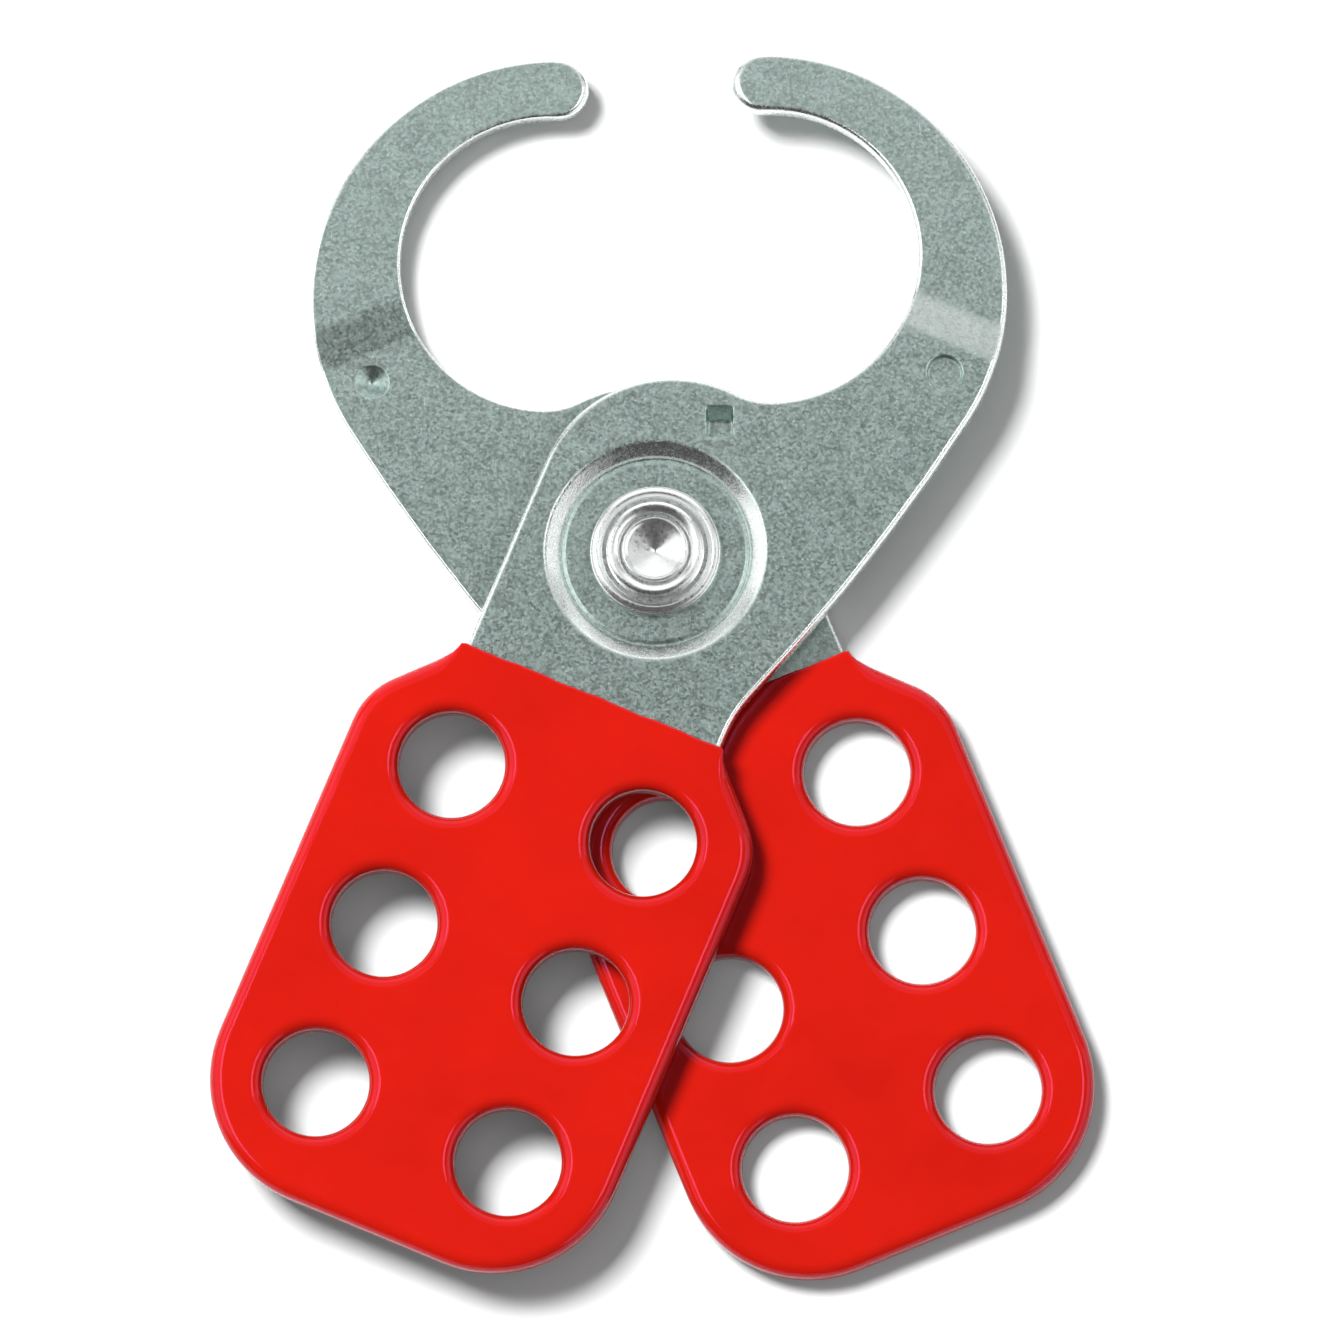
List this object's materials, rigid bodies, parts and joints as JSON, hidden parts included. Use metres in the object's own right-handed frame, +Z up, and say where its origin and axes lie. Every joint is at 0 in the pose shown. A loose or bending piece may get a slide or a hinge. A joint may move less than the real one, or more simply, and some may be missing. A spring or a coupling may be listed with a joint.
{
  "type": "lockout hasp",
  "caption": "Scissor-type lockout hasp: riveted steel plates with vinyl-dipped handles pierced for padlocks, and hooked jaws that overlap when the handles close.",
  "frame": {"origin": "on the rivet axis, at the surface that the hasp lies on", "axes": "+X to the right, +Y from the handles towards the jaws along the bisector of the open halves, +Z up along the rivet axis towards the rivet's formed head"},
  "size_m": [0.0808, 0.1137, 0.0089],
  "materials": {
    "plate_steel": "zinc plated, satin",
    "rivet_steel": "zinc plated, bright",
    "vinyl": "glossy dipped vinyl"
  },
  "bodies": {
    "back_half": {"back_plate": "plate_steel", "back_grip": "vinyl", "pivot_rivet": "rivet_steel", "rivet_washer": "rivet_steel"},
    "front_half": {"front_plate": "plate_steel", "front_grip": "vinyl"}
  },
  "joints": [
    {"name": "pivot", "type": "hinge", "parent": "back_half", "child": "front_half", "pos_m": [0, 0, 0], "axis": [0, 0, 1], "range_deg": [-25, 44.8]}
  ]
}
